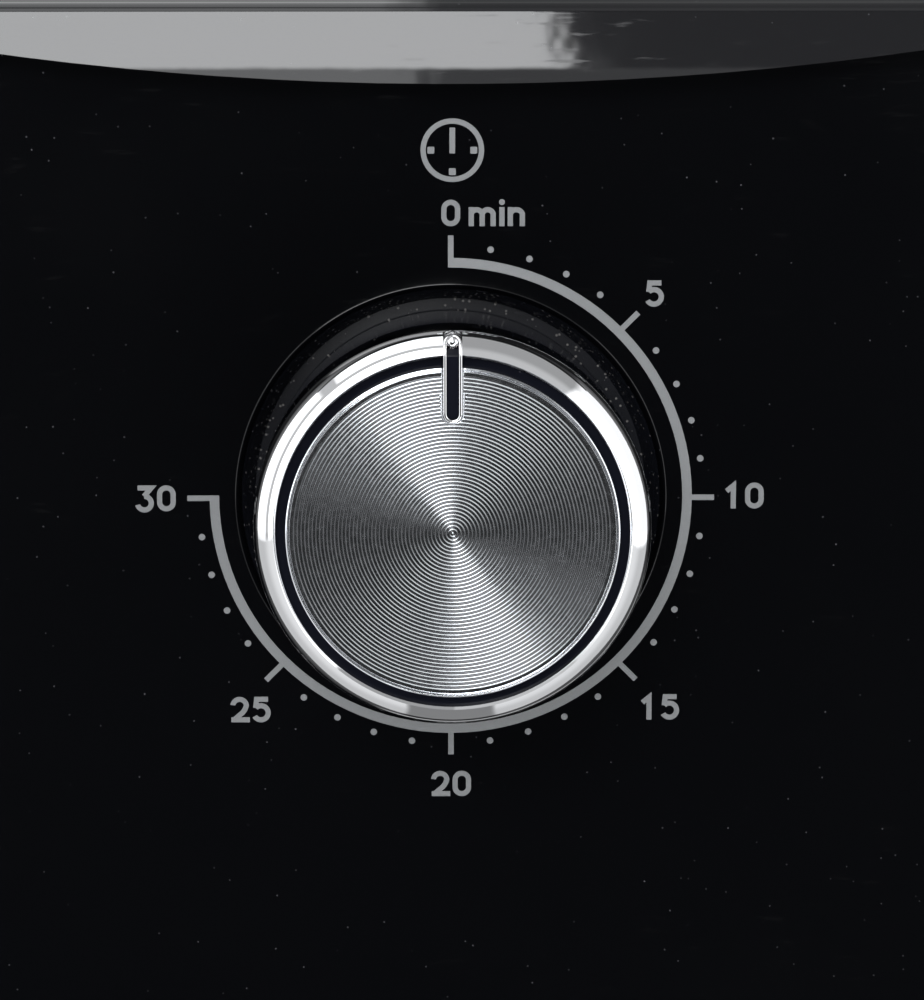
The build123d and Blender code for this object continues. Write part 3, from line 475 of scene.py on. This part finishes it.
def turned_disc(material):
    """The knob's disc, its face turned in fine rings, with the slot cut out that the pointer lies in."""
    profile = disc_profile()
    vertices = [(DIAL.x, DISC_FRONT, DIAL.z)]
    for radius, height in profile:
        vertices += [round_axis(radius, DISC_FRONT - height, side, DISC_SIDES) for side in range(DISC_SIDES)]
    faces = []
    for side in range(DISC_SIDES):
        following = (side + 1) % DISC_SIDES
        faces.append((0, 1 + following, 1 + side))
        for ring in range(len(profile) - 1):
            first, second = 1 + ring * DISC_SIDES, 1 + (ring + 1) * DISC_SIDES
            faces.append((first + side, first + following, second + following, second + side))
    faces.append(tuple(1 + (len(profile) - 1) * DISC_SIDES + side for side in range(DISC_SIDES)))
    disc = add_mesh("turned_disc", vertices, faces)
    cut_slot(disc)
    dress(disc.data, material)
    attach(disc, "dial_shaft")
    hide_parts("knob_disc")


def cut_slot(disc):
    """Removes the pointer's slot from the disc, out to past its rim."""
    low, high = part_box("knob_pointer")
    low = Vector((low.x - SLOT_GAP, low.y - MM, low.z - SLOT_GAP))
    high = Vector((high.x + SLOT_GAP, high.y + SLOT_DEPTH, high.z + MM))
    half = (high.x - low.x) / 2
    middle = (high.x + low.x) / 2
    turns = [pi * step / SLOT_STEPS for step in range(SLOT_STEPS + 1)]
    outline = [(middle + half * cos(turn), low.z + half - half * sin(turn)) for turn in turns]
    outline += [(low.x, high.z), (high.x, high.z)]
    count = len(outline)
    corners = [(x, y, z) for y in (low.y, high.y) for x, z in outline]
    sides = [tuple(range(count - 1, -1, -1)), tuple(range(count, 2 * count))]
    for step in range(count):
        after = (step + 1) % count
        sides.append((step, after, count + after, count + step))
    cutter = add_mesh("slot_cutter", corners, sides)
    cut = disc.modifiers.new("slot", "BOOLEAN")
    cut.operation = "DIFFERENCE"
    cut.object = cutter
    cut.solver = "EXACT"
    bpy.context.view_layer.update()
    done = disc.evaluated_get(bpy.context.evaluated_depsgraph_get())
    result = bpy.data.meshes.new_from_object(done)
    disc.modifiers.clear()
    disc.data = result
    bpy.data.objects.remove(cutter)


def loop_path(bend, foot, tip):
    """(across, up, outward across, outward up) along the loop's middle line.

    It runs up one side and round the tip, and then the same again turned half way round.
    """
    shares = [step / FRAME_STEPS for step in range(FRAME_STEPS)]
    half = [(-bend, foot + (tip - foot) * share, -1.0, 0.0) for share in shares]
    for share in shares:
        side_x, side_z = -cos(pi * share), sin(pi * share)
        half.append((bend * side_x, tip + bend * side_z, side_x, side_z))
    return half + [(-across, foot + tip - up, -side_x, -side_z) for across, up, side_x, side_z in half]


def pointer_frame(material):
    """The pointer's bright frame: a half-round wire looped over disc and bezel, with a bead at its tip."""
    low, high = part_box("knob_pointer")
    channel_low, channel_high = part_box("pointer_inlay")
    half, channel = (high.x - low.x) / 2, (channel_high.x - channel_low.x) / 2
    wire = (half - channel) / 2
    rim = high.z - DIAL.z
    foot = low.z - DIAL.z + half
    tip = rim - TIP_INSET

    def crest(radius):
        """The wire's foremost y at this distance from the knob's axis."""
        past = max(0.0, min(1.0, (radius - SHOULDER) / (rim - SHOULDER)))
        return low.y + (1 - sqrt(1 - past * past)) * TIP_DIP

    turns = [pi * step / SECTION_STEPS for step in range(SECTION_STEPS + 1)]
    section = [(wire * cos(turn), wire * (sin(turn) - 1)) for turn in turns]
    section = [(wire, -WIRE_DEPTH)] + section + [(-wire, -WIRE_DEPTH)]
    shape = bmesh.new()
    rings = []
    for across, up, side_x, side_z in loop_path((half + channel) / 2, foot, tip):
        ring = []
        for offset, height in section:
            x, z = across + side_x * offset, up + side_z * offset
            ring.append(shape.verts.new((DIAL.x + x, crest(max(z, 0.0)) - height, DIAL.z + z)))
        rings.append(ring)
    for ring, following in zip(rings, rings[1:] + rings[:1]):
        for place in range(len(section)):
            after = (place + 1) % len(section)
            shape.faces.new((ring[place], ring[after], following[after], following[place]))
    middle = tip + BEAD_OUT
    size = Vector((channel * BEAD_FIT, BEAD_HALF_DEPTH, channel * BEAD_FIT))
    centre = Vector((DIAL.x, crest(middle) + BEAD_SINK, DIAL.z + middle))
    for vertex in bmesh.ops.create_uvsphere(shape, u_segments=32, v_segments=20, radius=1.0)["verts"]:
        vertex.co = Vector(a * b for a, b in zip(vertex.co, size)) + centre
    bmesh.ops.recalc_face_normals(shape, faces=shape.faces)
    mesh = bpy.data.meshes.new("pointer_frame")
    shape.to_mesh(mesh)
    shape.free()
    dress(mesh, material)
    frame_piece = add_object("pointer_frame", mesh)
    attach(frame_piece, "dial_shaft")
    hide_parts("knob_pointer")


def dish_rim(material):
    """The fine rounded rim that stands round the mouth of the dish."""
    turns = [2 * pi * step / RIM_STEPS for step in range(RIM_STEPS)]
    section = [(DISH_R + RIM_R * (1 + cos(turn)), FACE_Y - RIM_R * sin(turn)) for turn in turns]
    vertices, faces = [], []
    for side in range(RIM_SIDES):
        vertices += [round_axis(radius, y, side, RIM_SIDES) for radius, y in section]
        ring, following = side * RIM_STEPS, (side + 1) % RIM_SIDES * RIM_STEPS
        for step in range(RIM_STEPS):
            after = (step + 1) % RIM_STEPS
            faces.append((ring + step, ring + after, following + after, following + step))
    rim = add_mesh("dish_rim", vertices, faces)
    dress(rim.data, material)
    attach(rim, "case")


# --- light, floor and surroundings ---
FLOOR_HALF = 2.0
BACKDROP = 0.95              # brightness of the plain backdrop beyond the floor
AMBIENT = 0.012              # light from every direction between the patches
DAYLIGHT = (0.97, 0.985, 1.0, 1.0)


class Sky(Graph):
    """The studio around the part as one world shader: soft-edged patches of light placed by direction.

    Directions are angles in degrees seen from the dial. Turn is to the right of straight out, and rise is
    above the horizon. Clock runs clockwise round the dial's axis from straight up, bottom runs to the right
    from straight down, and lean is the angle away from that axis. Swing and reach are clock and lean measured
    from the direction that the flat fascia mirrors.
    """

    def __init__(self, world):
        super().__init__(world.node_tree)
        texture = self.nodes.new("ShaderNodeTexCoord")
        split = self.nodes.new("ShaderNodeSeparateXYZ")
        self.links.new(texture.outputs["Generated"], split.inputs["Vector"])
        x, y, z = split.outputs
        front, down = self.maths("MULTIPLY", y, -1.0), self.maths("MULTIPLY", z, -1.0)
        self.turn = self.degrees("ARCTAN2", x, front)
        self.rise = self.degrees("ARCSINE", z)
        self.clock = self.degrees("ARCTAN2", x, z)
        self.bottom = self.degrees("ARCTAN2", x, down)
        self.lean = self.degrees("ARCCOSINE", front)
        above = self.maths("ADD", self.rise, ELEVATION)
        self.swing = self.degrees("ARCTAN2", self.turn, above)
        squares = self.maths("ADD", self.maths("POWER", self.turn, 2.0), self.maths("POWER", above, 2.0))
        self.reach = self.maths("SQRT", squares)
        self.total = AMBIENT

    def degrees(self, operation, first, second=None):
        return self.maths("MULTIPLY", self.maths(operation, first, second), 180 / pi)

    def edge(self, value, start, end):
        """0 before start and 1 after end, or the other way round where end is the smaller."""
        node = self.nodes.new("ShaderNodeMapRange")
        node.interpolation_type = "SMOOTHSTEP"
        low, high = min(start, end), max(start, end)
        values = (low, high, 0.0, 1.0) if end > start else (low, high, 1.0, 0.0)
        for name, number in zip(("From Min", "From Max", "To Min", "To Max"), values):
            node.inputs[name].default_value = number
        self.links.new(value, node.inputs["Value"])
        return node.outputs["Result"]

    def patch(self, radiance, *edges):
        """Adds radiance where every edge, given as (angle, start, end), is past."""
        light = radiance
        for angle, start, end in edges:
            light = self.maths("MULTIPLY", self.edge(angle, start, end), light)
        self.total = self.maths("ADD", self.total, light)


def floor():
    low = cad_low.z
    corners = [(x * FLOOR_HALF, y * FLOOR_HALF, low) for x, y in ((-1, -1), (1, -1), (1, 1), (-1, 1))]
    ground = add_mesh("floor", corners, [(0, 1, 2, 3)])
    finish = Finish("floor_paper", (0.72, 0.72, 0.71), 0.9, specular=0.2)
    finish.bump(finish.noise(4 * MM), 0.05 * MM)
    ground.data.materials.append(finish.material)
    ground.visible_glossy = False
    ground.visible_shadow = False


def light_for_disc(sky):
    """What the knob's flat disc mirrors, below 18 to 20 degrees of rise, and the cap's lip above that."""
    in_front = (sky.lean, 46, 40)
    beyond = (sky.reach, 10, 15)
    below, above = (sky.rise, 20, 18), (sky.rise, 18, 20)
    fading_right = (sky.swing, 85, 30)
    sky.patch(2.8, in_front, beyond, below, (sky.swing, -36.5, -34.5), (sky.swing, 0.8, -0.2))
    sky.patch(9.5, in_front, above, (sky.swing, -42, -39), (sky.turn, 2.5, 2.2))
    sky.patch(0.70, in_front, beyond, below, (sky.swing, -85, -30), (sky.swing, -34.5, -36.5))
    sky.patch(0.75, in_front, beyond, below, (sky.swing, -0.2, 0.8), fading_right)
    sky.patch(0.22, in_front, above, (sky.turn, 2.2, 2.5), fading_right)
    sky.patch(0.09, in_front, beyond, (sky.swing, 50, 70), (sky.swing, 125, 115))
    sky.patch(0.42, in_front, beyond, (sky.swing, 140, 143))


def light_for_edges(sky):
    """Narrow low lights between what the disc and the bezel mirror, for small rounded edges."""
    band = (sky.reach, 34, 35), (sky.reach, 44, 42)
    sky.patch(9.0, *band, (sky.swing, 95, 115))
    sky.patch(9.0, *band, (sky.swing, -150, -160))


def light_for_bezel(sky):
    """What the rounded bezel mirrors: light to the upper left and right, and two panels below."""
    outward = (sky.lean, 44, 50)
    left_start, middle_end = (sky.clock, -104, -100), (sky.clock, 0.5, -0.5)
    upper_left = left_start, middle_end
    upper_right = (sky.clock, -0.5, 0.5), (sky.clock, 50, 46)
    far_right = (sky.clock, 46, 50), (sky.clock, 106, 103)
    sky.patch(2.4, outward, (sky.lean, 72, 69), *upper_left)
    sky.patch(0.6, (sky.lean, 69, 72), *upper_left)
    sky.patch(1.2, (sky.lean, 78, 84), left_start, (sky.clock, -49, -52))
    sky.patch(1.4, (sky.lean, 78, 84), (sky.clock, -44, -41), middle_end)
    sky.patch(0.38, outward, *upper_right)
    sky.patch(0.22, outward, (sky.lean, 80, 60), *upper_right)
    sky.patch(1.2, outward, *far_right)
    sky.patch(0.8, outward, (sky.lean, 90, 75), *far_right)
    for start, end in ((-78, -11), (11, 78)):
        sky.patch(0.62, outward, (sky.bottom, start - 1, start + 1), (sky.bottom, end + 1, end - 1))
        panel = (sky.bottom, start, start + 1), (sky.bottom, end, end - 1)
        sky.patch(0.28, (sky.lean, 95, 65), outward, *panel)
    sky.patch(0.24, outward, (sky.bottom, -12, -10), (sky.bottom, 12, 10))


def surroundings():
    """Lights the scene with the sky, and shows the camera a plain pale backdrop in its place."""
    world = bpy.data.worlds.new("studio")
    bpy.context.scene.world = world
    world.use_nodes = True
    sky = Sky(world)
    light_for_disc(sky)
    light_for_edges(sky)
    light_for_bezel(sky)
    seen = sky.nodes.new("ShaderNodeLightPath").outputs["Is Camera Ray"]
    backdrop = sky.maths("MULTIPLY", seen, BACKDROP)
    rest = sky.maths("MULTIPLY", sky.maths("SUBTRACT", 1.0, seen), sky.total)
    background = sky.nodes["Background"]
    background.inputs["Color"].default_value = DAYLIGHT
    sky.links.new(sky.maths("ADD", backdrop, rest), background.inputs["Strength"])


def main():
    bpy.context.scene.view_settings.view_transform = "Standard"
    camera()
    materials = {maker.__name__: maker() for maker in MAKERS}
    paint(materials)
    turned_disc(materials["turned_aluminium"])
    pointer_frame(materials["bezel_chrome"])
    dish_rim(materials["fascia_gloss"])
    floor()
    surroundings()


main()
